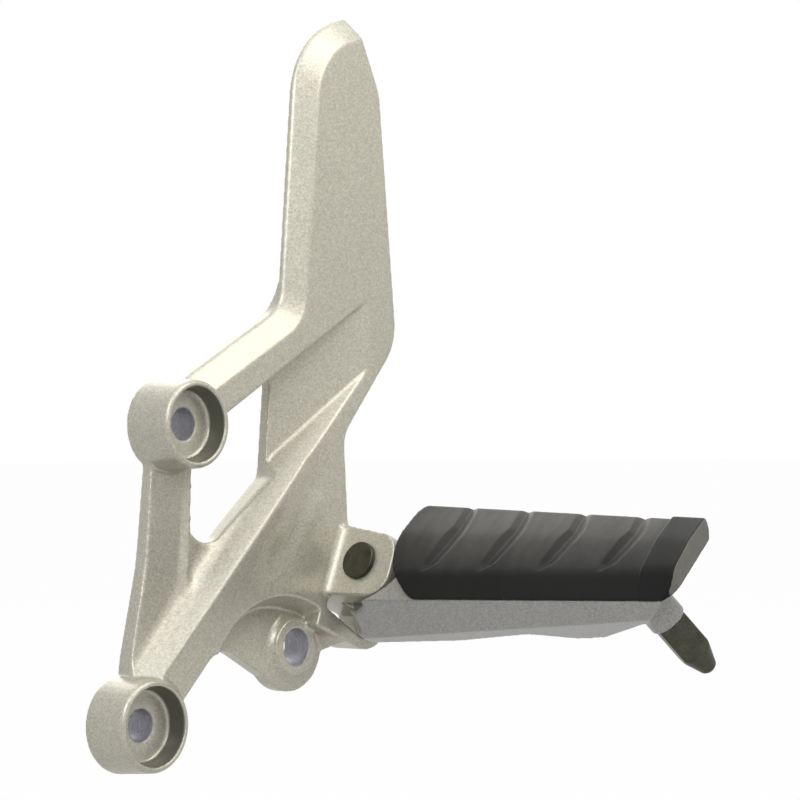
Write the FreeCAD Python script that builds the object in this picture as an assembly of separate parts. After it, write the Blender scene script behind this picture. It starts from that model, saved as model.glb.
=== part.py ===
"""Left-hand rider's footrest hanger of a motorcycle: cast bracket with heel guard and a folding peg.

Sizes are in millimetres. The origin is the centre of the upper frame-bolt bore on the mounting plane.
+X runs to the rear along the bracket, +Z is up and -Y is outward, away from the motorcycle.
Every height called "out" is measured outward from the back of the bracket's plate.
"""
import FreeCAD, Part
import math
import os

V = FreeCAD.Vector

# Bracket plate, measured along X and Z
PLATE_OUT = 12.0          # height of the front faces of arm, beam and heel guard
STRUT_OUT = 3.4           # height of the thin strut at its upper end
STRUT_RISE = 0.027        # rise of the strut's front for each millimetre downward
RIM_RISE = 1.1            # rim that stands on the strut along the window
RIM_RUN = 2.1             # run of the rim's slope at the window's top
RIM_RUN_FOOT = 3.6        # and past its foot
RIM_PAST = 1.3            # length of the rim for each millimetre of the window's edge
WEB_OUT = 3.6             # height of the web beside the window
WEB_START_X = 39.0        # where that web begins to rise
WEB_RISE = 0.262          # rise of the web for each millimetre of X
ARM_TOP_RISE = 0.5375     # rise of the arm's upper edge for each millimetre of X
ARM_TOP_Z = 11.2          # upper edge of the arm at X = 0
ARM_LOW_RISE = 0.56       # rise of the arm's lower edge
ARM_LOW_Z = -4.9          # lower edge of the arm at X = 0
BEAM_RIDGE_Z = -55.0      # ridge of the diagonal beam at X = 0; the ridge climbs at 45 degrees
BEAM_WIDTH = 10.6         # from the ridge to the beam's lower edge
FLANK_SLOPE = 1.65        # drop of the beam's flank for each millimetre away from the ridge
FLANK_ROOT_R = 6.0        # hollow between the flank and the strut
FLANK_ROOT_X = 30.0       # where that hollow runs out into the window
BEVEL_WIDTH = 6.1         # bevel along the arm's upper edge and the heel guard
BEVEL_DEPTH = 4.4

# Heel guard
GUARD_LEFT_X = 39.3       # front edge of the guard at its root
GUARD_REAR_X = 83.0       # rear edge of the guard at its root
GUARD_REAR_Z = 22.8
GUARD_LEAN = 0.0955       # run of the guard's front edge for each millimetre of height
GUARD_TOP_X = 67.2
GUARD_TOP_Z = 115.2
GUARD_TOP_RISE = 0.268    # rise of the guard's top edge for each millimetre of X
GUARD_TOP_R = 25.0
GUARD_BACK_OUT = 6.0      # height of the guard's back face
GUARD_RAMP_Z = (24.0, 40.0)

# Frame-bolt bosses
BOSS_BACK = 2.6           # how far the bosses' pads stand behind the plate, down to the mounting plane
BOSS_PAD_R = 9.0
UPPER_BOSS_OUT = 14.8
LOWER_BOSS_OUT = 13.4
LOWER_BOSS_X = -15.3
LOWER_BOSS_Z = -79.5
UPPER_BOSS_R = 11.8       # at the rim
LOWER_BOSS_R = 12.3
BOSS_DRAFT = 1.0          # growth of a boss's radius from its rim to its root
BOSS_EDGE_R = 1.1
BOLT_HOLE_R = 4.25
BOLT_SEAT_DEPTH = 5.8
BOLT_SEAT_WALL = 2.5      # from the boss's rim radius to the seat's radius
BOLT_SEAT_DRAFT = 0.9

# Pivot lobe
LOBE_X = 44.7
LOBE_Z = -62.4
LOBE_R = 12.6
LOBE_OUT = 5.0
LOBE_BACK_R = 10.0        # of the boss behind the lobe
LOBE_RING_R = 8.1
LOBE_RING_OUT = 7.4
LOBE_BORE_R = 5.1
DOME_R = 28.6             # round step from the bracket's front face down to the lobe
DOME_X = 34.5
DOME_Z = -76.0
DOME_DRAFT = 3.0

# Clevis and hinge: "along" follows the pin from the front ear's outer face, "across" is square to it
PIN_X = 55.5
PIN_Z = -38.6
PIN_OUT = 22.0
PIN_SLOPE = 22.4          # degrees that the pin drops towards the rear
EAR_FRONT = 8.0
EAR_GAP = 13.4
EAR_REAR = 6.6
EAR_HALF = 9.9            # from the pin's axis to the ear's lower edge
EAR_TOP = 11.5            # from the pin's axis to the ear's upper edge, at its root
EAR_TOP_TIP = 7.7         # and at its end
EAR_REACH = 11.7          # from the pin's axis to the ear's end
EAR_CORNER_R = 7.0
EAR_ROOT_R = 3.0
CLEVIS_FOOT = 19.4        # from the pin's axis down to the clevis's underside
CLEVIS_FOOT_R = 9.0
PIN_R = 4.0
PIN_FIT = 0.05            # radial running clearance of the pin
PIN_HEAD_R = 5.35
PIN_HEAD_T = 1.6
BUSH_R = 5.5
LUG_SIDE_GAP = 0.2
LUG_STOP_GAP = 0.3        # between the peg's heel and the clevis floor at rest
LUG_HEEL_R = 11.0
LUG_HEEL_STEP = 3.6       # from the stop face out to the heel's inner face
LUG_FOOT = 21.2           # from the pin's axis down to the lug's underside
HEEL_OUT = 21.6           # inner end of the peg's heel, which passes under the ears
HEEL_SWING_R = 14.4       # hollow round the ears in which the heel swings
HEEL_CORNER_R = 5.0
SLOT_START = 2.1          # slot under the ears that leaves a bar along the clevis's foot
SLOT_HEIGHT = 3.2         # at its front end
SLOT_DROP = 0.19          # drop of the bar's upper edge for each millimetre along the pin
WASHER_R = 7.0
WASHER_T = 1.2
CLIP_R = 0.8
PIN_TAIL = 4.6            # pin beyond the washer

# Return spring around the bush, with its two ends bent along the pin
SPRING_WIRE_R = 0.75
SPRING_TURNS = 2.5
SPRING_GAP = 0.3
SPRING_TANG = 3.0

# Peg: "across" follows the pad's width, "rise" is square to the pad's seat, "out" as above
PAD_TURN = 64.4           # degrees from the pin to the pad's width
SEAT_ALONG = 3.0          # middle line of the pad's seat, along the pin
SEAT_ACROSS = 1.1         # and across it
PEG_START = 36.6
PEG_END = 131.0
PEG_INSET = 0.6           # from the pad's lower edge to the peg's side
PEG_DEPTH_IN = 19.0
WAIST_OUT = 78.0
WAIST_DEPTH = 15.1
KEEL_OUT = 95.0
KEEL_DEPTH = 21.2
KEEL_END_INSET = 9.5      # from the peg's outer end to where the rise meets the undercut
KEEL_END_DEPTH = 8.4
FACET_DEPTH_IN = 13.9     # where the lower facet of the peg's sides begins
FACET_DEPTH_OUT = 6.0
FACET_ANGLE = 28.0
PEG_CORNER_R = 3.0
PEG_TOP_WALL = 5.0
PEG_SIDE_WALL = 5.6
POCKET_START = 50.0
POCKET_END = 110.0

# Rubber pad
PAD_NOSE = 2.0            # reach of the pad's rounded inner end beyond the peg
PAD_LIP = 2.0             # reach of the pad's outer end beyond the peg
PAD_FRONT_IN = 15.4       # front edge, from the seat's middle line, at the inner end
PAD_FRONT_OUT = 12.0      # and at the outer end
PAD_REAR_IN = 18.5
PAD_REAR_OUT = 15.2
PAD_UNDERCUT = 3.8        # lean of the rear edge
PAD_BAND = 7.0            # width of the steep front band
PAD_BAND_RISE = 4.6
PAD_CROWN_IN = 6.4
PAD_CROWN_OUT = 5.5
PAD_CROWN_ACROSS = 5.0
PAD_REAR_DROP = 0.8       # from the crown to the rear edge
PAD_NOSE_R = 20.0         # rounding of the inner front corner, seen on the seat
PAD_NOSE_REAR_R = 6.0
PAD_TIP_R = 7.0           # rounding of the outer front corner
END_BLOCK = 10.6
END_BLOCK_RISE = 0.8
GROOVES = 4
GROOVE_START = 49.6       # valley of the first groove at its front end
GROOVE_PITCH = 19.9
GROOVE_DEPTH = 1.7
GROOVE_DEPTH_REAR = 1.0
GROOVE_LEAN = 3.3         # outward shift from a groove's front end to its bend
GROOVE_RETURN = 0.3       # inward shift from the bend to the rear end
GROOVE_BEND = 8.6         # where the groove bends, across the pad
GROOVE_INNER = 1.3        # run of the steep slope on the inner side
GROOVE_OUTER = 4.2        # run of the gentle slope on the outer side
GROOVE_RUN_REAR = 2.4     # run of both slopes at the rear end

# Pad plate and screws
PLATE_T = 1.5
PLATE_HALF = 7.5
PLATE_MARGIN = 9.0
SCREW_R = 2.5
SCREW_CLEAR = 0.3
SCREW_HEAD_R = 4.6
SCREW_HEAD_T = 3.2
SCREW_OUTS = (60.0, 100.0)

# Bank-angle feeler
FEELER_ACROSS = -5.6
FEELER_INSET = 8.5        # from the peg's outer end
FEELER_DEPTH = 12.9       # of the lug's face under the seat
FEELER_LEAN = 14.7        # degrees that the feeler leans outward
FEELER_LUG_R = 5.1
FEELER_LUG = 9.0
FEELER_FLATS = 8.4        # across the flats of its hexagon
FEELER_LENGTH = 18.4
FEELER_CONE = 8.0
FEELER_TIP_R = 2.3
FEELER_STUD_R = 3.0
FEELER_STUD = 7.5

FAR = 300.0

CLEVIS_WIDTH = EAR_FRONT + EAR_GAP + EAR_REAR
PAD_START = PEG_START - PAD_NOSE
PAD_END = PEG_END + PAD_LIP
LUG_START = EAR_FRONT + LUG_SIDE_GAP
LUG_END = EAR_FRONT + EAR_GAP - LUG_SIDE_GAP


# Places in the bracket, the hinge and the peg
def plate_at(x, z, out):
    return V(x, -out - BOSS_BACK, z)


def hinge_at(along, across, out):
    slope = math.radians(PIN_SLOPE)
    x = PIN_X + along * math.cos(slope) + across * math.sin(slope)
    z = PIN_Z - along * math.sin(slope) + across * math.cos(slope)
    return plate_at(x, z, out)


def peg_at(across, rise, out):
    turn = math.radians(PAD_TURN)
    along = SEAT_ALONG + across * math.cos(turn) - rise * math.sin(turn)
    side = SEAT_ACROSS + across * math.sin(turn) + rise * math.cos(turn)
    return hinge_at(along, side, out)


def ear_at(out, across, along):
    return hinge_at(along, across, out)


def ear_root_at(along, out, across):
    return hinge_at(along, across, out)


def guard_side_at(z, out, x):
    return plate_at(x, z, out)


def peg_side_at(out, rise, across):
    return peg_at(across, rise, out)


def peg_plan_at(out, across, rise):
    return peg_at(across, rise, out)


PIN_DIR = hinge_at(1, 0, 0) - hinge_at(0, 0, 0)
ACROSS_DIR = hinge_at(0, 1, 0) - hinge_at(0, 0, 0)
OUTWARD = V(0, -1, 0)
PEG_UP = peg_at(0, 1, 0) - peg_at(0, 0, 0)


# Shape helpers
def straight(start, end, place, height):
    return Part.LineSegment(place(start.x, start.y, height), place(end.x, end.y, height)).toShape()


def rounded_wire(corners, place, height):
    """Closed outline with a tangent arc at every corner (p, q, radius)."""
    flat = [V(c[0], c[1], 0) for c in corners]
    edges = []
    last = None
    first = None
    for i, corner in enumerate(corners):
        here = flat[i]
        back = (flat[i - 1] - here).normalize()
        ahead = (flat[(i + 1) % len(flat)] - here).normalize()
        start = end = here
        if corner[2] > 0:
            half = back.getAngle(ahead) / 2
            reach = corner[2] / math.tan(half)
            start = here + back * reach
            end = here + ahead * reach
            centre = here + (back + ahead).normalize() * (corner[2] / math.sin(half))
            middle = centre + (here - centre).normalize() * corner[2]
        if last is None:
            first = start
        else:
            edges.append(straight(last, start, place, height))
        if corner[2] > 0:
            arc = [place(p.x, p.y, height) for p in (start, middle, end)]
            edges.append(Part.Arc(*arc).toShape())
        last = end
    edges.append(straight(last, first, place, height))
    return Part.Wire(edges)


def prism(corners, place, low, high):
    """Rounded outline raised from one height to another."""
    face = Part.Face(rounded_wire(corners, place, low))
    solid = face.extrude(place(0, 0, high) - place(0, 0, low))
    if solid.Volume < 0:
        solid.reverse()
    return solid


def half_space(point, normal):
    """Large block on the side of a plane that its normal points to."""
    block = Part.makeBox(2 * FAR, 2 * FAR, FAR, V(-FAR, -FAR, 0))
    block.Placement = FreeCAD.Placement(point, FreeCAD.Rotation(V(0, 0, 1), normal))
    return block


def turned(profile, base, axis):
    """Solid of revolution from (radius, height) points about an axis through base."""
    points = [V(r, 0, h) for r, h in profile]
    solid = Part.Face(Part.makePolygon(points + points[:1])).revolve(V(0, 0, 0), V(0, 0, 1), 360)
    if solid.Volume < 0:
        solid.reverse()
    solid.Placement = FreeCAD.Placement(base, FreeCAD.Rotation(V(0, 0, 1), axis))
    return solid


def rod(radius, base, axis, length):
    return Part.makeCylinder(radius, length, base, axis)


def ridge_z(x):
    return x + BEAM_RIDGE_Z


def arm_low_z(x):
    return ARM_LOW_Z + ARM_LOW_RISE * x


def arm_top_z(x):
    return ARM_TOP_Z + ARM_TOP_RISE * x


# Bracket
def guard_left_x(z):
    return GUARD_LEFT_X + GUARD_LEAN * (z - arm_top_z(GUARD_LEFT_X))


def guard_shoulder():
    """Corner where the guard's front edge and its top edge would meet."""
    base = arm_top_z(GUARD_LEFT_X)
    run = GUARD_TOP_Z - base - GUARD_TOP_RISE * (GUARD_TOP_X - GUARD_LEFT_X)
    z = base + run / (1 - GUARD_TOP_RISE * GUARD_LEAN)
    return guard_left_x(z), z


def bevelled_edge():
    """Corners of the edge from the upper boss along the arm and round the guard's top."""
    shoulder = guard_shoulder()
    return [
        (-4.0, arm_top_z(-4.0), 0),
        (GUARD_LEFT_X, arm_top_z(GUARD_LEFT_X), 8),
        (shoulder[0], shoulder[1], GUARD_TOP_R),
        (GUARD_TOP_X, GUARD_TOP_Z, 0),
    ]


def plate_outline():
    beam_low = BEAM_RIDGE_Z - BEAM_WIDTH * math.sqrt(2)
    return bevelled_edge() + [
        (GUARD_REAR_X - 6.2, GUARD_TOP_Z - 21.0, 14),
        (GUARD_REAR_X, GUARD_REAR_Z, 16),
        (60.4, -3.4, 9),
        (61.8, -31.0, 0),
        (66.0, -58.0, 0),
        (60.8, -60.2, 4),
        (LOBE_X + 0.65 * LOBE_R, LOBE_Z - 0.6 * LOBE_R, 0),
        (LOBE_X - 0.68 * LOBE_R, LOBE_Z - 0.68 * LOBE_R, 0),
        (21.0, -62.4, 8),
        (-62.2 - beam_low, -62.2, 4),
        (LOWER_BOSS_X + 9.0, LOWER_BOSS_X + 9.0 + beam_low, 0),
        (LOWER_BOSS_X - 3.0, LOWER_BOSS_Z + 2.0, 0),
        (-16.2, -62.0, 0),
        (-10.0, -37.0, 60),
        (-6.6, -8.0, 0),
    ]


WINDOW_TOP = (8.0, -9.0)
WINDOW_FOOT = (5.0, -41.0)


def window_outline():
    return [
        (*WINDOW_TOP, 2),
        (*WINDOW_FOOT, 6.5),
        (36.6, -14.2, 4.5),
        (39.7, arm_low_z(39.7), 4),
        (14.0, arm_low_z(14.0), 2),
    ]


def crossing(p, q, r, s):
    """Point where the line through p and q meets the line through r and s."""
    first = q - p
    second = s - r
    share = ((r - p).cross(second)).z / first.cross(second).z
    return p + first * share


def bevel_wire(shift, out):
    """Large outline that follows the bevelled edge, moved inward by a shift."""
    edge = bevelled_edge()
    points = [V(x, z, 0) for x, z, r in edge]
    moved = []
    for p, q in zip(points, points[1:]):
        inward = V(0, 0, -1).cross(q - p).normalize() * shift
        moved.append((p + inward - (q - p), q + inward + (q - p)))
    ends = [crossing(*moved[i], *moved[i + 1]) for i in range(len(moved) - 1)]
    corners = [(moved[0][0].x, moved[0][0].y, 0)]
    for i, point in enumerate(ends):
        turn = (points[i + 1] - points[i]).cross(points[i + 2] - points[i + 1]).z
        radius = edge[i + 1][2] + (shift if turn > 0 else -shift)
        corners.append((point.x, point.y, radius))
    last = points[-1] + (points[-1] - points[-2]) * 2
    last = crossing(*moved[-1], V(last.x, 0, 0), V(last.x, 1, 0))
    corners.append((last.x, last.y, 0))
    corners.append((last.x, -FAR, 0))
    corners.append((corners[0][0], -FAR, 0))
    return rounded_wire(corners, plate_at, out)


def bevelled_plate():
    start = PLATE_OUT - BEVEL_DEPTH
    extra = 1.0
    far_shift = BEVEL_WIDTH * (1 + extra / BEVEL_DEPTH)
    kept = Part.makeLoft([bevel_wire(0, start), bevel_wire(far_shift, PLATE_OUT + extra)], True, True)
    low = prism(plate_outline(), plate_at, 0, start)
    high = prism(plate_outline(), plate_at, start, PLATE_OUT).common(kept)
    return low.fuse(high).removeSplitter()


def front_pocket():
    """Spaces in front of strut and web: below the arm, above the beam's flank, over the rising web."""
    left = -60.0
    right = (ARM_LOW_Z - BEAM_RIDGE_Z) / (1 - ARM_LOW_RISE)
    corners = [(left, arm_low_z(left), 0), (right, ridge_z(right), 0), (left, ridge_z(left), 0)]
    space = prism(corners, plate_at, 0, PLATE_OUT + 5)
    up_left = V(-1, 0, 1).normalize()
    flank = half_space(plate_at(0, ridge_z(0), PLATE_OUT), -(OUTWARD + up_left * FLANK_SLOPE))
    web = half_space(plate_at(WEB_START_X, 0, WEB_OUT), -(OUTWARD - V(WEB_RISE, 0, 0)))
    strut = half_space(plate_at(0, 0, STRUT_OUT), -(OUTWARD + V(0, 0, STRUT_RISE)))
    space = space.cut([flank, strut])
    root = [e for e in space.Edges if touches(e, flank) and touches(e, strut)]
    web_side = half_space(plate_at(FLANK_ROOT_X, 0, 0), V(1, 0, 0))
    return [space.makeFillet(FLANK_ROOT_R, root).cut(web_side), space.cut(web).common(web_side)]


def touches(edge, solid):
    """Whether both ends of an edge lie on a solid."""
    ends = [edge.valueAt(edge.FirstParameter), edge.valueAt(edge.LastParameter)]
    return all(Part.Vertex(point).distToShape(solid)[0] < 0.001 for point in ends)


def strut_at(x, z, rise):
    return plate_at(x, z, STRUT_OUT - STRUT_RISE * z + rise)


def strut_rim():
    """Rim along the window, which slopes down to the strut's front."""
    top = WINDOW_TOP
    foot = [t + RIM_PAST * (f - t) for t, f in zip(WINDOW_TOP, WINDOW_FOOT)]
    width = RIM_RUN_FOOT + 1
    corners = [(*top, 0), (*foot, 0), (foot[0] - width, foot[1], 0), (top[0] - width, top[1], 0)]
    start = strut_at(top[0] - RIM_RUN, top[1], 0)
    end = strut_at(foot[0] - RIM_RUN_FOOT, foot[1], 0)
    normal = (end - start).cross(strut_at(*top, RIM_RISE) - start).normalize()
    if normal.dot(OUTWARD) < 0:
        normal = -normal
    return prism(corners, plate_at, 0, PLATE_OUT).cut(half_space(start, normal))


def guard_back():
    """Space behind the heel guard, with a ramp down to the mounting plane."""
    low, high = GUARD_RAMP_Z
    corners = [(low, 0, 0), (high, GUARD_BACK_OUT, 6), (FAR, GUARD_BACK_OUT, 0), (FAR, -5, 0), (low, -5, 0)]
    return prism(corners, guard_side_at, 0, GUARD_REAR_X + 40)


def boss(x, z, rim_r, out):
    body = Part.makeCone(rim_r + BOSS_DRAFT, rim_r, out, plate_at(x, z, 0), OUTWARD)
    rim = [e for e in body.Edges if e.CenterOfMass.sub(plate_at(x, z, out)).Length < 0.1]
    pad = rod(BOSS_PAD_R, plate_at(x, z, -BOSS_BACK), OUTWARD, BOSS_BACK + 1)
    return body.makeFillet(BOSS_EDGE_R, rim).fuse(pad)


def bolt_bore(x, z, rim_r, out):
    seat_r = rim_r - BOLT_SEAT_WALL
    seat = out - BOLT_SEAT_DEPTH
    low = -BOSS_BACK - 1
    profile = [(0, low), (BOLT_HOLE_R, low), (BOLT_HOLE_R, seat), (seat_r, seat)]
    profile += [(seat_r + BOLT_SEAT_DRAFT, out), (seat_r + BOLT_SEAT_DRAFT, out + 5), (0, out + 5)]
    return turned(profile, plate_at(x, z, 0), OUTWARD)


def lobe():
    shoulder = 1.6
    profile = [(0, -BOSS_BACK), (LOBE_BACK_R, -BOSS_BACK), (LOBE_BACK_R, 0), (LOBE_R, 0)]
    profile += [(LOBE_R, LOBE_OUT), (LOBE_RING_R + shoulder, LOBE_OUT)]
    profile += [(LOBE_RING_R, LOBE_OUT + shoulder), (LOBE_RING_R, LOBE_RING_OUT), (0, LOBE_RING_OUT)]
    return turned(profile, plate_at(LOBE_X, LOBE_Z, 0), OUTWARD)


def ear(start, thickness):
    inner = PLATE_OUT - 4
    tip = PIN_OUT + EAR_REACH
    corners = [(inner, -EAR_HALF, 0), (tip, -EAR_HALF, EAR_CORNER_R), (tip, EAR_TOP_TIP, EAR_CORNER_R)]
    corners.append((inner, EAR_TOP, 0))
    return prism(corners, ear_at, start, start + thickness)


def clevis():
    floor = [(0, -CLEVIS_FOOT, 0), (CLEVIS_WIDTH, -CLEVIS_FOOT, CLEVIS_FOOT_R)]
    floor += [(CLEVIS_WIDTH, EAR_TOP, 3), (0, EAR_TOP, 0)]
    root = prism(floor, hinge_at, 0, PLATE_OUT)
    high = PLATE_OUT + EAR_ROOT_R
    corners = [(-EAR_ROOT_R, PLATE_OUT, 0), (0.5, PLATE_OUT, 0), (0.5, high, 0), (0, high, 0)]
    fillet = prism(corners, ear_root_at, -EAR_HALF, EAR_HALF)
    hollow = rod(EAR_ROOT_R, hinge_at(-EAR_ROOT_R, -FAR, high), ACROSS_DIR, 2 * FAR)
    rear = EAR_FRONT + EAR_GAP
    return root.fuse([fillet.cut(hollow), ear(0, EAR_FRONT), ear(rear, EAR_REAR)])


def foot_slot():
    """Slot between the ears' lower faces and the bar along the clevis's foot."""
    start = SLOT_START
    end = EAR_FRONT + EAR_GAP - 1.5
    low = -EAR_HALF - SLOT_HEIGHT
    corners = [(start, -EAR_HALF, 0), (end, -EAR_HALF, 1.2), (end, low - SLOT_DROP * (end - start), 1.2)]
    corners.append((start, low, 0.8))
    return prism(corners, hinge_at, -1, PLATE_OUT + EAR_ROOT_R)


def spring_mean_r():
    return BUSH_R + SPRING_GAP + SPRING_WIRE_R


def hanger_bracket():
    dome = Part.makeCone(DOME_R - DOME_DRAFT, DOME_R, PLATE_OUT - LOBE_OUT,
                         plate_at(DOME_X, DOME_Z, LOBE_OUT), OUTWARD)
    body = bevelled_plate().cut(front_pocket() + [guard_back(), dome]).fuse(strut_rim())
    body = body.cut(prism(window_outline(), plate_at, -1, PLATE_OUT + 1))
    body = body.fuse([
        boss(0, 0, UPPER_BOSS_R, UPPER_BOSS_OUT),
        boss(LOWER_BOSS_X, LOWER_BOSS_Z, LOWER_BOSS_R, LOWER_BOSS_OUT),
        lobe(),
        clevis(),
    ])
    pin_hole = rod(PIN_R + PIN_FIT, hinge_at(-1, 0, PIN_OUT), PIN_DIR, CLEVIS_WIDTH + 2)
    tang = hinge_at(EAR_FRONT + EAR_GAP - 1, -spring_mean_r(), PIN_OUT)
    tang_hole = rod(SPRING_WIRE_R + PIN_FIT, tang, PIN_DIR, SPRING_TANG + 1.5)
    bore_start = plate_at(LOBE_X, LOBE_Z, -BOSS_BACK - 1)
    lobe_bore = rod(LOBE_BORE_R, bore_start, OUTWARD, BOSS_BACK + LOBE_RING_OUT + 2)
    return body.cut([
        bolt_bore(0, 0, UPPER_BOSS_R, UPPER_BOSS_OUT),
        bolt_bore(LOWER_BOSS_X, LOWER_BOSS_Z, LOWER_BOSS_R, LOWER_BOSS_OUT),
        lobe_bore, pin_hole, tang_hole, foot_slot(),
    ]).removeSplitter()


# Hinge
def hinge_pin():
    end = CLEVIS_WIDTH + WASHER_T + PIN_TAIL
    face = hinge_at(-PIN_HEAD_T, 0, PIN_OUT)
    head = rod(PIN_HEAD_R, face, PIN_DIR, PIN_HEAD_T)
    head = head.makeFillet(0.3, [e for e in head.Edges if e.CenterOfMass.sub(face).Length < 0.1])
    shank = rod(PIN_R, hinge_at(0, 0, PIN_OUT), PIN_DIR, end)
    hole = rod(CLIP_R + PIN_FIT, clip_base() - OUTWARD * FAR, OUTWARD, 2 * FAR)
    return head.fuse(shank).cut(hole)


def clip_base():
    return hinge_at(CLEVIS_WIDTH + WASHER_T + CLIP_R + 0.4, 0, PIN_OUT)


def pin_washer():
    base = hinge_at(CLEVIS_WIDTH, 0, PIN_OUT)
    return rod(WASHER_R, base, PIN_DIR, WASHER_T).cut(rod(PIN_R + PIN_FIT, base, PIN_DIR, WASHER_T))


def pin_clip():
    eye_r = 1.7
    reach = PIN_R + 2.0
    straight = rod(CLIP_R, clip_base() - OUTWARD * reach, OUTWARD, 2 * reach)
    eye = Part.makeTorus(eye_r, CLIP_R, clip_base() + OUTWARD * (reach + eye_r), PIN_DIR)
    return straight.fuse(eye)


def hinge_bush():
    base = hinge_at(LUG_START, 0, PIN_OUT)
    length = LUG_END - LUG_START
    return rod(BUSH_R, base, PIN_DIR, length).cut(rod(PIN_R + PIN_FIT, base, PIN_DIR, length))


def spring_room():
    return 2 * SPRING_WIRE_R * (SPRING_TURNS + 1.6)


def return_spring():
    """Coil around the bush, with one end in the peg's lug and the other in the rear ear."""
    pitch = 2 * SPRING_WIRE_R * 1.15
    mean = spring_mean_r()
    helix = Part.makeHelix(pitch, pitch * SPRING_TURNS, mean)
    ring = Part.Wire(Part.makeCircle(SPRING_WIRE_R, V(mean, 0, 0), V(0, 1, 0)))
    coil = Part.Wire(helix).makePipeShell([ring], True, True)
    top = pitch * SPRING_TURNS
    end_angle = 2 * math.pi * SPRING_TURNS
    end = V(mean * math.cos(end_angle), mean * math.sin(end_angle), top)
    drop = SPRING_TANG + SPRING_WIRE_R
    pieces = [Part.makeSphere(SPRING_WIRE_R, V(mean, 0, 0)), Part.makeSphere(SPRING_WIRE_R, end)]
    pieces.append(rod(SPRING_WIRE_R, V(mean, 0, 0), V(0, 0, -1), drop))
    pieces.append(rod(SPRING_WIRE_R, end, V(0, 0, 1), drop))
    spring = coil.fuse(pieces)
    middle = LUG_END - spring_room() / 2
    frame = FreeCAD.Rotation(ACROSS_DIR, PIN_DIR.cross(ACROSS_DIR), PIN_DIR, "ZXY")
    spring.Placement = FreeCAD.Placement(hinge_at(middle, 0, PIN_OUT) - PIN_DIR * (top / 2), frame)
    return spring


# Peg
def between(inner, outer, out):
    """Size that changes evenly from the pad's inner end to its outer end."""
    return inner + (outer - inner) * (out - PEG_START) / (PAD_END - PEG_START)


def pad_front(out):
    return -between(PAD_FRONT_IN, PAD_FRONT_OUT, out)


def pad_rear(out):
    return between(PAD_REAR_IN, PAD_REAR_OUT, out)


def peg_front(out):
    return pad_front(out) + PEG_INSET


def peg_rear(out):
    return pad_rear(out) - PAD_UNDERCUT - PEG_INSET


def peg_profile():
    return [
        (PEG_START, 0, 0),
        (PEG_END, 0, 0),
        (PEG_END - KEEL_END_INSET, -KEEL_END_DEPTH, 4),
        (KEEL_OUT, -KEEL_DEPTH, 1.2),
        (WAIST_OUT, -WAIST_DEPTH, 10),
        (PEG_START + 15, -PEG_DEPTH_IN, 12),
        (PEG_START, -PEG_DEPTH_IN, 3),
    ]


def peg_plan():
    return [
        (PEG_START, peg_front(PEG_START), PEG_CORNER_R),
        (PEG_END, peg_front(PEG_END), 4),
        (PEG_END, peg_rear(PEG_END), 4),
        (PEG_START, peg_rear(PEG_START), 3),
    ]


def facet_cut(edge, side):
    """Block that takes the lower facet off one side of the peg; side is -1 at the front, 1 at the rear."""
    lean = math.tan(math.radians(FACET_ANGLE))
    start = peg_at(edge(PEG_START), -FACET_DEPTH_IN, PEG_START)
    end = peg_at(edge(PEG_END), -FACET_DEPTH_OUT, PEG_END)
    low = peg_at(edge(PEG_START) - side * lean, -FACET_DEPTH_IN - 1, PEG_START)
    normal = (end - start).cross(low - start).normalize()
    if normal.dot(PEG_UP) > 0:
        normal = -normal
    return half_space(start, normal)


def hinge_lug():
    reach = PIN_OUT - PLATE_OUT - LUG_STOP_GAP
    inner = PLATE_OUT + LUG_STOP_GAP
    heel = inner + LUG_HEEL_STEP
    foot = -LUG_FOOT
    deep = PEG_START + 8
    corners = [(heel, foot, LUG_HEEL_R), (deep, foot, 0), (deep, reach, 0), (inner, reach, reach - 0.01)]
    corners += [(inner, -7.5, 2), (heel, -7.5 - LUG_HEEL_STEP, 1.5)]
    return prism(corners, ear_at, LUG_START, LUG_END)


def heel():
    """Inner end of the peg's front wall, which runs on under the ears."""
    deep = PEG_START + 8
    corners = [(HEEL_OUT, 0, 0), (deep, 0, 0), (deep, -PEG_DEPTH_IN, 0)]
    corners.append((HEEL_OUT, -PEG_DEPTH_IN, HEEL_CORNER_R))
    block = prism(corners, peg_side_at, -PAD_FRONT_IN - 5, 0)
    swing = rod(HEEL_SWING_R, hinge_at(-FAR / 2, 0, PIN_OUT), PIN_DIR, FAR)
    return block.cut([beyond_front(), swing])


def beyond_front():
    """Block in front of the peg's front wall."""
    start = peg_at(peg_front(PEG_START), 0, PEG_START)
    end = peg_at(peg_front(PEG_END), 0, PEG_END)
    normal = (end - start).cross(PEG_UP).normalize()
    if normal.dot(peg_at(-1, 0, 0) - peg_at(0, 0, 0)) < 0:
        normal = -normal
    return half_space(start, normal)


def peg_pocket():
    corners = []
    for out, edge, side in ((POCKET_START, peg_front, 1), (POCKET_END, peg_front, 1),
                            (POCKET_END, peg_rear, -1), (POCKET_START, peg_rear, -1)):
        corners.append((out, edge(out) + side * PEG_SIDE_WALL, 3))
    return prism(corners, peg_plan_at, -PEG_TOP_WALL, -2 * PEG_DEPTH_IN)


def feeler_base():
    return peg_at(FEELER_ACROSS, -FEELER_DEPTH, PEG_END - FEELER_INSET)


def feeler_axis():
    lean = math.radians(FEELER_LEAN)
    return OUTWARD * math.sin(lean) - PEG_UP * math.cos(lean)


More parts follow.
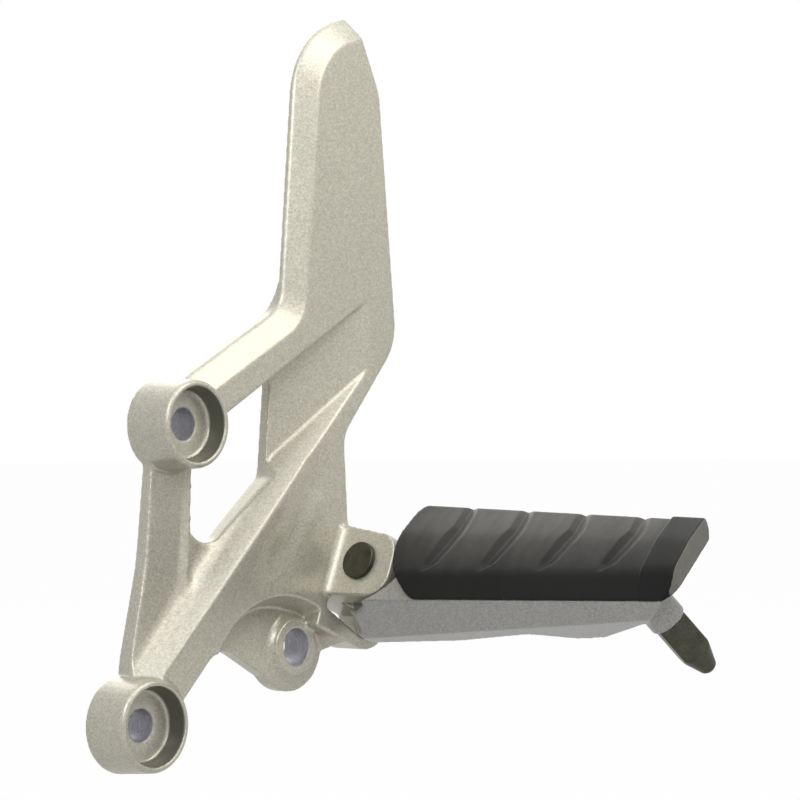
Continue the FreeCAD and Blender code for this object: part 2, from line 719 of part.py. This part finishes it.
def peg_body():
    wide = PAD_FRONT_IN + PAD_REAR_IN
    side = prism(peg_profile(), peg_side_at, -wide, wide)
    body = side.common(prism(peg_plan(), peg_plan_at, 1, -2 * PEG_DEPTH_IN))
    under = half_space(peg_at(0, -PEG_DEPTH_IN, 0), -PEG_UP)
    lug = hinge_lug().cut([beyond_front(), under])
    body = body.fuse([lug, heel()]).cut([facet_cut(peg_front, -1), facet_cut(peg_rear, 1)])
    body = body.fuse(rod(FEELER_LUG_R, feeler_base(), -feeler_axis(), FEELER_LUG))
    over_seat = half_space(peg_at(0, 0, 0), PEG_UP).common(half_space(hinge_at(0, 0, PEG_START), OUTWARD))
    cuts = [peg_pocket(), over_seat]
    base = hinge_at(LUG_START - 1, 0, PIN_OUT)
    cuts.append(rod(BUSH_R, base, PIN_DIR, LUG_END - LUG_START + 2))
    room_r = spring_mean_r() + SPRING_WIRE_R + SPRING_GAP
    cuts.append(rod(room_r, hinge_at(LUG_END - spring_room(), 0, PIN_OUT), PIN_DIR, spring_room() + 1))
    tang = hinge_at(LUG_END - spring_room() + 1, spring_mean_r(), PIN_OUT)
    cuts.append(rod(SPRING_WIRE_R + PIN_FIT, tang, -PIN_DIR, SPRING_TANG + 3))
    cuts.append(rod(FEELER_STUD_R, feeler_base() + feeler_axis(), -feeler_axis(), FEELER_STUD + 1.5))
    for out in SCREW_OUTS:
        cuts.append(rod(SCREW_R + SCREW_CLEAR, peg_at(0, -FAR, out), PEG_UP, FAR + 1))
    return body.cut(cuts).removeSplitter()


# Pad
def pad_crown(out):
    return between(PAD_CROWN_IN, PAD_CROWN_OUT, out)


def pad_section(out, lift):
    front = pad_front(out)
    rear = pad_rear(out)
    crown = pad_crown(out) + lift
    corners = [
        (front, 0, 0.3),
        (front + PAD_BAND, PAD_BAND_RISE + lift, 7),
        (PAD_CROWN_ACROSS, crown, 16),
        (rear, crown - PAD_REAR_DROP, 1.2),
        (rear - PAD_UNDERCUT, 0, 0.6),
    ]
    return rounded_wire(corners, peg_at, out)


def pad_loft(start, end, lift):
    return Part.makeLoft([pad_section(start, lift), pad_section(end, lift)], True, True)


def pad_top(across, out):
    """Height of the pad's top face over its seat."""
    front = pad_front(out) + PAD_BAND
    rear = pad_rear(out)
    crown = pad_crown(out)
    if across < PAD_CROWN_ACROSS:
        share = (across - front) / (PAD_CROWN_ACROSS - front)
        return PAD_BAND_RISE + share * (crown - PAD_BAND_RISE)
    share = (across - PAD_CROWN_ACROSS) / (rear - PAD_CROWN_ACROSS)
    return crown - share * PAD_REAR_DROP


def groove_section(across, out, depth, inner, outer):
    """Three-cornered section of a groove, carried on above the pad's top."""
    lift = 1.0
    top = pad_top(across, out)
    grow = 1 + lift / depth
    points = [(out - inner * grow, top + lift), (out, top - depth), (out + outer * grow, top + lift)]
    corners = [peg_at(across, rise, place_out) for place_out, rise in points]
    return Part.makePolygon(corners + corners[:1])


def groove(number):
    """Chevron groove across the pad that runs out at the top of the front band."""
    start = GROOVE_START + number * GROOVE_PITCH
    front = pad_front(start) + PAD_BAND
    rear = pad_rear(start) + 1.5
    bend = start + GROOVE_LEAN
    sections = [
        groove_section(front + 0.4, start - 0.6, 0.4, 0.5, 1.0),
        groove_section(front + 3.4, start, GROOVE_DEPTH, GROOVE_INNER, GROOVE_OUTER),
        groove_section(GROOVE_BEND, bend, GROOVE_DEPTH, GROOVE_INNER, GROOVE_OUTER),
        groove_section(rear, bend - GROOVE_RETURN, GROOVE_DEPTH_REAR, GROOVE_RUN_REAR, GROOVE_RUN_REAR),
    ]
    return Part.makeLoft(sections, True, True)


def plate_plan():
    half = PLATE_HALF
    start = PEG_START + PLATE_MARGIN
    end = PEG_END - PLATE_MARGIN
    return [(start, -half, 3), (end, -half, 3), (end, half, 3), (start, half, 3)]


def rubber_pad():
    body = pad_loft(PAD_START, PAD_END, 0)
    body = body.fuse(pad_loft(PAD_END - END_BLOCK, PAD_END, END_BLOCK_RISE))
    spare = 1.0
    plan = [
        (PAD_START, pad_front(PAD_START) - spare, PAD_NOSE_R + spare),
        (PAD_END, pad_front(PAD_END) - spare, PAD_TIP_R + spare),
        (PAD_END, pad_rear(PAD_END) + spare, 4),
        (PAD_START, pad_rear(PAD_START) + spare, PAD_NOSE_REAR_R + spare),
    ]
    body = body.common(prism(plan, peg_plan_at, -1, 2 * PAD_CROWN_IN))
    body = body.cut([groove(i) for i in range(GROOVES)])
    body = body.cut(prism(plate_plan(), peg_plan_at, -1, PLATE_T))
    for out in SCREW_OUTS:
        body = body.cut(rod(SCREW_R + SCREW_CLEAR, peg_at(0, 0, out), PEG_UP, screw_top() + 0.3))
    return body.removeSplitter()


def screw_top():
    return PLATE_T + 1.2


def pad_plate():
    plate = prism(plate_plan(), peg_plan_at, 0, PLATE_T)
    for out in SCREW_OUTS:
        plate = plate.cut(rod(SCREW_R, peg_at(0, -1, out), PEG_UP, PLATE_T + 2))
    return plate


def pad_screw(out):
    seat = -PEG_TOP_WALL
    shank = rod(SCREW_R, peg_at(0, seat, out), PEG_UP, screw_top() - seat)
    head = rod(SCREW_HEAD_R, peg_at(0, seat - SCREW_HEAD_T, out), PEG_UP, SCREW_HEAD_T)
    return head.fuse(shank)


def feeler_at(across, third, length):
    side = peg_at(1, 0, 0) - peg_at(0, 0, 0)
    return feeler_base() + side * across + feeler_axis().cross(side) * third + feeler_axis() * length


def bank_feeler():
    corner_r = FEELER_FLATS / math.sqrt(3)
    ring = [(corner_r * math.cos(math.radians(60 * i)), corner_r * math.sin(math.radians(60 * i)), 0)
            for i in range(6)]
    hexagon = prism(ring, feeler_at, 0, FEELER_LENGTH)
    edge = 0.5
    profile = [(0, 0), (corner_r - edge, 0), (corner_r, edge), (corner_r, FEELER_LENGTH - FEELER_CONE)]
    profile += [(FEELER_TIP_R, FEELER_LENGTH - 0.8), (FEELER_TIP_R - 1.0, FEELER_LENGTH)]
    profile.append((0, FEELER_LENGTH))
    point = turned(profile, feeler_base(), feeler_axis())
    stud = rod(FEELER_STUD_R, feeler_base(), -feeler_axis(), FEELER_STUD)
    return hexagon.common(point).fuse(stud)


def main():
    os.makedirs("parts", exist_ok=True)
    nodes = {
        "hanger_bracket": hanger_bracket(),
        "hinge_pin": hinge_pin(),
        "pin_washer": pin_washer(),
        "pin_clip": pin_clip(),
        "return_spring": return_spring(),
        "peg_body": peg_body(),
        "hinge_bush": hinge_bush(),
        "rubber_pad": rubber_pad(),
        "pad_plate": pad_plate(),
        "pad_screws": Part.makeCompound([pad_screw(out) for out in SCREW_OUTS]),
        "bank_feeler": bank_feeler(),
    }
    for name, shape in nodes.items():
        shape.exportStep("parts/" + name + ".step")
        print(name, len(shape.Solids), "solids", shape.isValid(), round(shape.Volume, 1), "mm3")


main()
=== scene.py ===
"""Looks of the footrest hanger: cast silver bracket and folding peg, black rubber pad, dark pin and feeler.

Metres, in the frame of the solids: -Y is outward from the motorcycle, +X is to the rear and +Z is up.
"""
import math

import bmesh
import bpy
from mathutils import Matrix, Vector
from mathutils.geometry import intersect_point_line


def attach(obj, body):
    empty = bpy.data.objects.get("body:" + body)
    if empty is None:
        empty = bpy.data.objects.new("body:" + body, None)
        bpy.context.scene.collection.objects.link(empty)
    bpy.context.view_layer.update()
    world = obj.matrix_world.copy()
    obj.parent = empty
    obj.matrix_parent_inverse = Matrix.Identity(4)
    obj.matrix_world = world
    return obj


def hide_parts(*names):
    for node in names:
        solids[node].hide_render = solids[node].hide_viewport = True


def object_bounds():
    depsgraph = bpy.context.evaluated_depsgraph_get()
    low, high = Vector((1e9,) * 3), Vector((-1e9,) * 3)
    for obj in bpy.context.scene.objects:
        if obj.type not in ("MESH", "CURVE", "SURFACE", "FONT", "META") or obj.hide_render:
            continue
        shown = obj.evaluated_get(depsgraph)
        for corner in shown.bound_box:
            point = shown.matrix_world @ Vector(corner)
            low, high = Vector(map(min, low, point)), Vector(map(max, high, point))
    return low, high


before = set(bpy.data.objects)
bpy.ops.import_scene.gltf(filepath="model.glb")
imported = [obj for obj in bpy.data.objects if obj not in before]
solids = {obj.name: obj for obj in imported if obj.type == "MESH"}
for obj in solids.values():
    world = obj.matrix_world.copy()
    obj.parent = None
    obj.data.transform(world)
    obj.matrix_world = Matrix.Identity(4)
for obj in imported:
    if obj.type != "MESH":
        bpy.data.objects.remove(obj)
cad_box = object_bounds()

# Colours are linear red, green, blue and alpha, and a pair is the darkest and the lightest shade
WHITE = (1, 1, 1, 1)
FLOOR_GREY = (0.6, 0.6, 0.6, 1)
BRACKET_SILVER = ((0.34, 0.324, 0.264, 1), (0.69, 0.661, 0.552, 1))
PEG_SILVER = ((0.19, 0.187, 0.176, 1), (0.47, 0.462, 0.440, 1))
# Painted shade for the counterbore walls
COUNTERBORE_SHADE = (0.15, 0.147, 0.115, 1)
BARE_METAL = ((0.16, 0.16, 0.18, 1), (0.62, 0.62, 0.66, 1))
RUBBER_BLACK = (0.013, 0.013, 0.0125, 1)
# Scuffs together with a painted sheen on the treads, and a painted light colour on the end face
RUBBER_SCUFF_AND_SHEEN = (0.175, 0.170, 0.158, 1)
RUBBER_END_PAINTED_LIGHT = (0.27, 0.261, 0.238, 1)
OLIVE_PLATING = ((0.038, 0.037, 0.026, 1), (0.088, 0.086, 0.064, 1))
ZINC = ((0.50, 0.50, 0.49, 1), (0.72, 0.72, 0.70, 1))
BRONZE = ((0.42, 0.30, 0.14, 1), (0.62, 0.47, 0.25, 1))
NOISE_ROUGHNESS = 0.55

# Bores that are left bare, as x, z and the radius of the bare metal, and how far its edge wavers
BARE_BORES = ((0.0, 0.0, 0.00455), (-0.0153, -0.0795, 0.00455), (0.0447, -0.0624, 0.00535))
BARE_WAVER = 0.0006
# Counterbores whose walls get painted shade, as x, z and radius; the walls are in front of the floor
COUNTERBORES = ((0.0, 0.0, 0.0101), (-0.0153, -0.0795, 0.0106))
COUNTERBORE_FADE = 0.0008
COUNTERBORE_FLOOR_Y = -0.0100
# Y of the normal on a face that looks outward, and on one that counts as a wall
WALL_FACING = (-0.85, -0.25)

# The pad's upward direction, and from where to where a face counts more and more as a tread's flat top, which gets
# more of the scuffs and of the painted sheen
PAD_UP = (-0.669, 0.0, 0.743)
TREAD_LEVEL = (0.80, 0.98)
# The treads begin where a point's distance along this direction passes the start.
# The scuffs and a painted sheen grow over this range of distances from there
TREAD_DIR = (0.743, 0.0353, 0.669)
TREAD_START = 0.00792
TREAD_SCUFF_AND_SHEEN = (-0.0010, 0.0200)
# The pad's outer block, which gets painted shade, its end face, which gets a painted light colour, and its darker
# inner end
END_BLOCK_Y = -0.1252
END_FACING = -0.85
INNER_END_Y = (-0.060, -0.036)

# Shallow valley across the front of the bracket's hub. The pairs are where its share is 0 and where it is 1:
# by facing, by distance from the hub's front, and along the valley at its start and at its end
HUB_FRONT_Y = -0.0146
VALLEY_START = Vector((0.0467, 0, -0.0183))
VALLEY_END = Vector((0.0303, 0, -0.0416))
VALLEY_DEPTH = 0.0009
VALLEY_WIDTH = 0.0045
VALLEY_FACING = (0.60, 0.95)
VALLEY_OFF_FRONT = (0.0045, 0.0010)
VALLEY_LEAD_IN = (-0.45, -0.05)
VALLEY_LEAD_OUT = (1.30, 0.90)

# Lines along which a skin is eased, as start, end, reach and rounds of smoothing.
# On the bracket: the foot of the web's rim, the strut's edge and the hub's top. On the peg: the heel
BRACKET_EASING = (((0.0028, -0.0072, -0.0465), (0.0026, -0.0072, -0.0475), 0.0080, 120),
                  ((0.0078, -0.0072, -0.0100), (0.0054, -0.0077, -0.0380), 0.0028, 24),
                  ((0.0458, -0.0143, -0.0124), (0.0548, -0.0145, -0.0068), 0.0026, 60))
PEG_EASING = (((0.0492, -0.0285, -0.0510), (0.0530, -0.0250, -0.0556), 0.0036, 60),)
EASE_RINGS = 4
EASE_RING_STEP = 0.2
SMOOTHING = 0.5
MERGE_DISTANCE = 1e-6

# Stage: the floor under the object, the light from all round, and the lamps
FLOOR_SIZE = 6.0
FLOOR_GAP = 0.0004
FLOOR_WHITE = 0.985
WORLD_LEVEL = 0.06
# Name, place, aim, side, power in watts and colour
SOFTBOXES = (("overhead", (0.03, -0.06, 0.38), (0.03, -0.05, 0.0), 0.40, 0.48, (1, 1, 1)),
             ("front_right", (0.11, -0.29, 0.30), (0.05, -0.02, 0.05), 0.30, 0.86, (1.0, 0.98, 0.92)),
             ("front_left", (-0.30, -0.14, 0.31), (0.04, -0.02, 0.05), 0.32, 0.80, (0.93, 0.955, 1.0)),
             ("beside_camera", (-0.36, -0.40, 0.24), (0.05, -0.02, 0.08), 0.22, 0.78, (0.95, 0.97, 1.0)),
             ("behind", (0.25, 0.55, 0.30), (0.03, -0.05, 0.0), 0.5, 1.8, (1, 1, 1)))

# Camera at the photograph's viewing angle; its turn is in degrees
CAMERA_PLACE = (-0.56268, -0.58863, -0.00154)
CAMERA_TURN = (90.5324, 0.5997, -48.4017)
CAMERA_LENS = 135.0
CAMERA_SENSOR = 36.0
CAMERA_NEAR = 0.01


# Finishes
class Tone:
    """A value, colour, vector or shader among the nodes; the operators work on values."""

    def __init__(self, nodes, socket):
        self.nodes = nodes
        self.socket = socket

    def maths(self, operation, first, second):
        return self.nodes.node("ShaderNodeMath", {"operation": operation}, {0: first, 1: second})

    def __add__(self, other):
        return self.maths("ADD", self, other)

    def __sub__(self, other):
        return self.maths("SUBTRACT", self, other)

    def __mul__(self, other):
        return self.maths("MULTIPLY", self, other)

    def __rsub__(self, other):
        return self.maths("SUBTRACT", other, self)

    def __lt__(self, other):
        return self.maths("LESS_THAN", self, other)

    __radd__ = __add__
    __rmul__ = __mul__


class NodeSet:
    """Nodes of a finish or of the surroundings."""

    def __init__(self, tree):
        self.tree = tree

    def node(self, kind, settings=None, sockets=None, output=0):
        made = self.tree.nodes.new(kind)
        for name, value in (settings or {}).items():
            setattr(made, name, value)
        for key, value in (sockets or {}).items():
            self.link(value, made.inputs[key])
        return Tone(self, made.outputs[output])

    def link(self, value, socket):
        if isinstance(value, Tone):
            self.tree.links.new(value.socket, socket)
        else:
            socket.default_value = value

    def seen_white(self, plain, white, share=1.0):
        """The camera, reflections and glass see the white shader, and everything else the plain one."""
        seen = self.node("ShaderNodeLightPath", output="Is Camera Ray")
        for ray in ("Is Glossy Ray", "Is Transmission Ray"):
            seen = seen.maths("MAXIMUM", seen, self.node("ShaderNodeLightPath", output=ray))
        return self.node("ShaderNodeMixShader", None, {0: seen * share, 1: plain, 2: white})


class Finish(NodeSet):
    """One procedural material, read on the object's own coordinates."""

    def __init__(self, name, metallic=0.0, specular=0.5):
        self.material = bpy.data.materials.new(name)
        self.material.use_nodes = True
        super().__init__(self.material.node_tree)
        self.shader = self.tree.nodes["Principled BSDF"]
        self.feed("Metallic", metallic)
        self.feed("Specular IOR Level", specular)
        self.place = self.node("ShaderNodeTexCoord", output="Object")

    def feed(self, name, value):
        self.link(value, self.shader.inputs[name])

    def facing(self):
        return self.node("ShaderNodeTexCoord", output="Normal")

    def stretch(self, scale):
        return self.node("ShaderNodeMapping", None, {"Vector": self.place, "Scale": scale})

    def noise(self, scale, detail=3.0, place=None):
        sockets = {"Vector": place or self.place, "Scale": scale, "Detail": detail, "Roughness": NOISE_ROUGHNESS}
        return self.node("ShaderNodeTexNoise", None, sockets)

    def cells(self, scale):
        """Random value for each small cell, as for the flakes in a metallic paint."""
        random = self.node("ShaderNodeTexVoronoi", None, {"Vector": self.place, "Scale": scale}, "Color")
        return self.node("ShaderNodeSeparateColor", None, {"Color": random})

    def spread(self, value, given, made=(0.0, 1.0)):
        """Maps the given range of a value to the made one, and stops at its ends."""
        sockets = {"Value": value, "From Min": given[0], "From Max": given[1], "To Min": made[0], "To Max": made[1]}
        return self.node("ShaderNodeMapRange", None, sockets)

    def y_of(self, vector):
        return self.node("ShaderNodeSeparateXYZ", None, {"Vector": vector}, "Y")

    def along(self, vector, direction):
        sockets = {0: vector, 1: direction}
        return self.node("ShaderNodeVectorMath", {"operation": "DOT_PRODUCT"}, sockets, "Value")

    def mix(self, share, first, second):
        sockets = {"Factor": share, 6: first, 7: second}
        return self.node("ShaderNodeMix", {"data_type": "RGBA"}, sockets, 2)

    def bump(self, height, distance, strength, below=None):
        sockets = {"Height": height, "Distance": distance, "Strength": strength}
        if below:
            sockets["Normal"] = below
        return self.node("ShaderNodeBump", None, sockets)

    def bore_mask(self, bores, waver=0.0, fade=0.0):
        """1 inside round bores, with an edge that wavers or one that fades out."""
        flat = self.node("ShaderNodeVectorMath", {"operation": "MULTIPLY"}, {0: self.place, 1: (1, 0, 1)})
        mask = None
        for x, z, radius in bores:
            sockets = {0: flat, 1: (x, 0, z)}
            away = self.node("ShaderNodeVectorMath", {"operation": "DISTANCE"}, sockets, "Value")
            if fade:
                inside = self.spread(away, (radius + fade, radius))
            else:
                inside = (away + waver) < radius
            mask = inside if mask is None else mask + inside
        return mask


def cast_paint(name, shades, bored):
    """Fine champagne-silver metallic paint over a casting; a bored one has bare metal in its bores and painted
    shade on its counterbore walls.
    """
    finish = Finish(name, metallic=0.36)
    flake = finish.cells(scale=2300.0)
    fine = finish.cells(scale=5200.0)
    cloud = finish.noise(scale=45.0, detail=2.0)
    sparkle = 0.04 + flake * 0.40 + fine * 0.38 + cloud * 0.14
    colour = finish.mix(sparkle, *shades)
    rough = finish.spread(flake, (0.0, 1.0), (0.28, 0.38))
    peel = finish.noise(scale=420.0, detail=2.0)
    grit = finish.noise(scale=1900.0, detail=2.0)
    normal = finish.bump(peel, distance=0.00006, strength=0.25)
    normal = finish.bump(grit, distance=0.00003, strength=0.25, below=normal)
    if bored:
        wall = finish.spread(finish.y_of(finish.facing()), WALL_FACING)
        in_front = finish.y_of(finish.place) < COUNTERBORE_FLOOR_Y
        # Painted shade: the counterbore walls in front of their floors are darkened to the shade colour, as shade
        # falls there
        thin = finish.bore_mask(COUNTERBORES, fade=COUNTERBORE_FADE) * wall * in_front
        colour = finish.mix(thin, colour, COUNTERBORE_SHADE)
        waver = (finish.noise(scale=900.0) - 0.5) * BARE_WAVER
        bare = finish.bore_mask(BARE_BORES, waver=waver)
        streak = finish.noise(scale=900.0, detail=4.0, place=finish.stretch((1.6, 1.6, 0.35)))
        colour = finish.mix(bare, colour, finish.mix(streak, *BARE_METAL))
        rough = rough + bare * 0.12
        normal = finish.bump(streak * bare, distance=0.0002, strength=0.6, below=normal)
    finish.feed("Base Color", colour)
    finish.feed("Roughness", rough)
    finish.feed("Normal", normal)
    return finish.material


def pad_rubber():
    """Satin black moulded rubber with scuffed treads under a painted sheen, a painted light colour on its end face
    and painted shade on its outer block, darker at its inner end.
    """
    finish = Finish("pad_rubber", specular=0.11)
    facing = finish.facing()
    out = finish.y_of(finish.place)
    smear = finish.noise(scale=60.0, detail=4.0, place=finish.stretch((0.6, 2.0, 1.0)))
    dust = finish.noise(scale=800.0)
    # Scuffs and a painted sheen: more on upward faces, and growing along the treads
    level = finish.spread(finish.along(facing, PAD_UP), TREAD_LEVEL)
    tread = finish.along(finish.place, TREAD_DIR) - TREAD_START
    scuff_and_sheen = finish.spread(tread, TREAD_SCUFF_AND_SHEEN, (0.06, 1.0)) * (0.55 + level * 0.45)
    smudged = 0.5 + finish.spread(smear, (0.35, 0.7)) * 0.4 + dust * 0.15
    inner = finish.spread(out, INNER_END_Y, (1.0, 0.35))
    # Painted shade: the outer block keeps less of the lighter colour
    block = out < END_BLOCK_Y
    share = scuff_and_sheen * smudged * inner * (1 - block * 0.6)
    colour = finish.mix(share, RUBBER_BLACK, RUBBER_SCUFF_AND_SHEEN)
    # Painted light: faces that look out at the end get a paler colour
    lit_end_face = finish.y_of(facing) < END_FACING
    colour = finish.mix(lit_end_face * (0.75 + dust * 0.25), colour, RUBBER_END_PAINTED_LIGHT)
    skin = finish.noise(scale=2400.0, detail=2.0)
    finish.feed("Base Color", colour)
    finish.feed("Roughness", finish.spread(smear, (0.3, 0.75), (0.38, 0.52)))
    finish.feed("Normal", finish.bump(skin, distance=0.00003, strength=0.6))
    return finish.material


def dark_plate():
    """Olive-black plating on steel, a little cloudy."""
    finish = Finish("dark_plate", metallic=0.9)
    cloud = finish.noise(scale=260.0, detail=5.0)
    spot = finish.noise(scale=1500.0, detail=2.0)
    share = finish.spread(cloud * 0.7 + spot * 0.3, (0.3, 0.7))
    finish.feed("Base Color", finish.mix(share, *OLIVE_PLATING))
    finish.feed("Roughness", finish.spread(cloud, (0.3, 0.7), (0.30, 0.48)))
    finish.feed("Normal", finish.bump(spot, distance=0.00004, strength=0.5))
    return finish.material


def bright_zinc():
    """Bright zinc on the small steel parts, with a fine grain."""
    finish = Finish("bright_zinc", metallic=1.0)
    cloud = finish.noise(scale=300.0, detail=4.0)
    grain = finish.noise(scale=1800.0, detail=2.0)
    finish.feed("Base Color", finish.mix(cloud, *ZINC))
    finish.feed("Roughness", finish.spread(cloud, (0.3, 0.7), (0.26, 0.42)))
    finish.feed("Normal", finish.bump(grain, distance=0.00002, strength=0.5))
    return finish.material


def bearing_bronze():
    """Plain cloudy bronze of the hinge bush."""
    finish = Finish("bearing_bronze", metallic=1.0)
    cloud = finish.noise(scale=350.0, detail=4.0)
    finish.feed("Base Color", finish.mix(cloud, *BRONZE))
    finish.feed("Roughness", finish.spread(cloud, (0.3, 0.7), (0.30, 0.45)))
    return finish.material


# Pieces
def coat(piece, material):
    piece.data.materials.clear()
    piece.data.materials.append(material)


def keep(piece, material, body):
    coat(piece, material)
    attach(piece, body)


def apply_modifiers(piece):
    depsgraph = bpy.context.evaluated_depsgraph_get()
    piece.data = bpy.data.meshes.new_from_object(piece.evaluated_get(depsgraph))
    piece.modifiers.clear()
    piece.data.shade_smooth()


def thin_out(piece, share):
    """Keeps a share of the triangles, and takes out those where the skin is flat."""
    piece.modifiers.new("thin", "DECIMATE").ratio = share
    apply_modifiers(piece)


def worn_round(node, name, voxel, rounds):
    """Closed skin over a solid, with the soft edges of a casting or a moulding."""
    bm = bmesh.new()
    bm.from_mesh(solids[node].data)
    bmesh.ops.remove_doubles(bm, verts=bm.verts, dist=MERGE_DISTANCE)
    mesh = bpy.data.meshes.new(name)
    bm.to_mesh(mesh)
    bm.free()
    piece = bpy.data.objects.new(name, mesh)
    bpy.context.scene.collection.objects.link(piece)
    skin = piece.modifiers.new("skin", "REMESH")
    skin.mode = "VOXEL"
    skin.voxel_size = voxel
    edges = piece.modifiers.new("edges", "SMOOTH")
    edges.factor = SMOOTHING
    edges.iterations = rounds
    apply_modifiers(piece)
    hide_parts(node)
    return piece


def ease(piece, runs):
    """Runs small forms together along lines, less and less towards the end of each line's reach."""
    bm = bmesh.new()
    bm.from_mesh(piece.data)
    every_way = {"use_axis_x": True, "use_axis_y": True, "use_axis_z": True}
    for start, end, reach, rounds in runs:
        away = {}
        for vertex in bm.verts:
            spot, along = intersect_point_line(vertex.co, start, end)
            spot = Vector(start) if along < 0 else Vector(end) if along > 1 else spot
            distance = (vertex.co - spot).length
            if distance < reach:
                away[vertex] = distance
        for ring in range(EASE_RINGS):
            near = [vertex for vertex in away if away[vertex] < reach * (1 - EASE_RING_STEP * ring)]
            for _ in range(rounds // EASE_RINGS):
                bmesh.ops.smooth_vert(bm, verts=near, factor=SMOOTHING, **every_way)
    bm.to_mesh(piece.data)
    bm.free()


def ramp(value, ends):
    """0 to 1 as a number goes from the first end to the second."""
    return max(0.0, min(1.0, (value - ends[0]) / (ends[1] - ends[0])))


def soft_valley(piece):
    """Shallow valley across the bracket's hub, beside the beam's ridge."""
    length = (VALLEY_END - VALLEY_START).length
    along = (VALLEY_END - VALLEY_START).normalized()
    aside = along.cross(Vector((0, 1, 0)))
    facing = [ramp(-normal.vector.y, VALLEY_FACING) for normal in piece.data.vertex_normals]
    for vertex, share in zip(piece.data.vertices, facing):
        share *= ramp(abs(vertex.co.y - HUB_FRONT_Y), VALLEY_OFF_FRONT)
        if share == 0.0:
            continue
        away = vertex.co - VALLEY_START
        run = away.dot(along) / length
        share *= min(ramp(run, VALLEY_LEAD_IN), ramp(run, VALLEY_LEAD_OUT))
        vertex.co.y += VALLEY_DEPTH * share * math.exp(-(away.dot(aside) / VALLEY_WIDTH) ** 2)


paint = cast_paint("cast_paint", BRACKET_SILVER, bored=True)
peg_paint = cast_paint("peg_paint", PEG_SILVER, bored=False)
rubber = pad_rubber()
plating = dark_plate()
zinc = bright_zinc()

bracket = worn_round("hanger_bracket", "cast_bracket", voxel=0.00040, rounds=12)
soft_valley(bracket)
ease(bracket, BRACKET_EASING)
thin_out(bracket, share=0.40)
keep(bracket, paint, "hanger")

peg = worn_round("peg_body", "cast_peg", voxel=0.00032, rounds=12)
ease(peg, PEG_EASING)
thin_out(peg, share=0.5)
keep(peg, peg_paint, "peg")

pad = worn_round("rubber_pad", "moulded_pad", voxel=0.00031, rounds=4)
keep(pad, rubber, "peg")
feeler = worn_round("bank_feeler", "plated_feeler", voxel=0.00028, rounds=3)
keep(feeler, plating, "peg")
pin = worn_round("hinge_pin", "plated_pin", voxel=0.00030, rounds=2)
keep(pin, plating, "hanger")

for node in ("pin_washer", "pin_clip", "return_spring", "pad_plate", "pad_screws"):
    coat(solids[node], zinc)
coat(solids["hinge_bush"], bearing_bronze())


# Stage
def white_floor():
    """Pale floor that shows as white, with the object's soft shadow on it."""
    bm = bmesh.new()
    bmesh.ops.create_grid(bm, x_segments=1, y_segments=1, size=FLOOR_SIZE)
    bmesh.ops.translate(bm, verts=bm.verts, vec=(0, 0, cad_box[0].z - FLOOR_GAP))
    mesh = bpy.data.meshes.new("floor")
    bm.to_mesh(mesh)
    bm.free()
    floor = bpy.data.objects.new("floor", mesh)
    bpy.context.scene.collection.objects.link(floor)
    finish = Finish("floor_white", specular=0.0)
    finish.feed("Base Color", FLOOR_GREY)
    finish.feed("Roughness", 0.9)
    plain = Tone(finish, finish.shader.outputs[0])
    white = finish.node("ShaderNodeEmission", None, {"Color": WHITE, "Strength": 1.0})
    shown = finish.seen_white(plain, white, FLOOR_WHITE)
    finish.link(shown, finish.tree.nodes["Material Output"].inputs["Surface"])
    mesh.materials.append(finish.material)


def studio_world():
    """White surroundings for the camera and for reflections, a plain level for everything else."""
    world = bpy.data.worlds.new("studio")
    bpy.context.scene.world = world
    world.use_nodes = True
    world.node_tree.nodes.clear()
    studio = NodeSet(world.node_tree)
    plain = studio.node("ShaderNodeBackground", None, {"Color": WHITE, "Strength": WORLD_LEVEL})
    white = studio.node("ShaderNodeBackground", None, {"Color": WHITE, "Strength": 1.0})
    out = world.node_tree.nodes.new("ShaderNodeOutputWorld")
    studio.link(studio.seen_white(plain, white), out.inputs["Surface"])


def softbox(name, place, aim, side, power, colour):
    lamp = bpy.data.lights.new(name, "AREA")
    lamp.shape = "SQUARE"
    lamp.size = side
    lamp.energy = power
    lamp.color = colour
    rig = bpy.data.objects.new(name, lamp)
    rig.location = place
    rig.rotation_euler = (Vector(aim) - Vector(place)).to_track_quat("-Z", "Y").to_euler()
    bpy.context.scene.collection.objects.link(rig)


white_floor()
studio_world()
for row in SOFTBOXES:
    softbox(*row)

camera = bpy.data.objects.new("camera", bpy.data.cameras.new("camera"))
camera.data.lens = CAMERA_LENS
camera.data.sensor_width = CAMERA_SENSOR
camera.data.clip_start = CAMERA_NEAR
camera.location = CAMERA_PLACE
camera.rotation_euler = [math.radians(angle) for angle in CAMERA_TURN]
bpy.context.scene.collection.objects.link(camera)
bpy.context.scene.camera = camera
bpy.context.scene.view_settings.view_transform = "Standard"
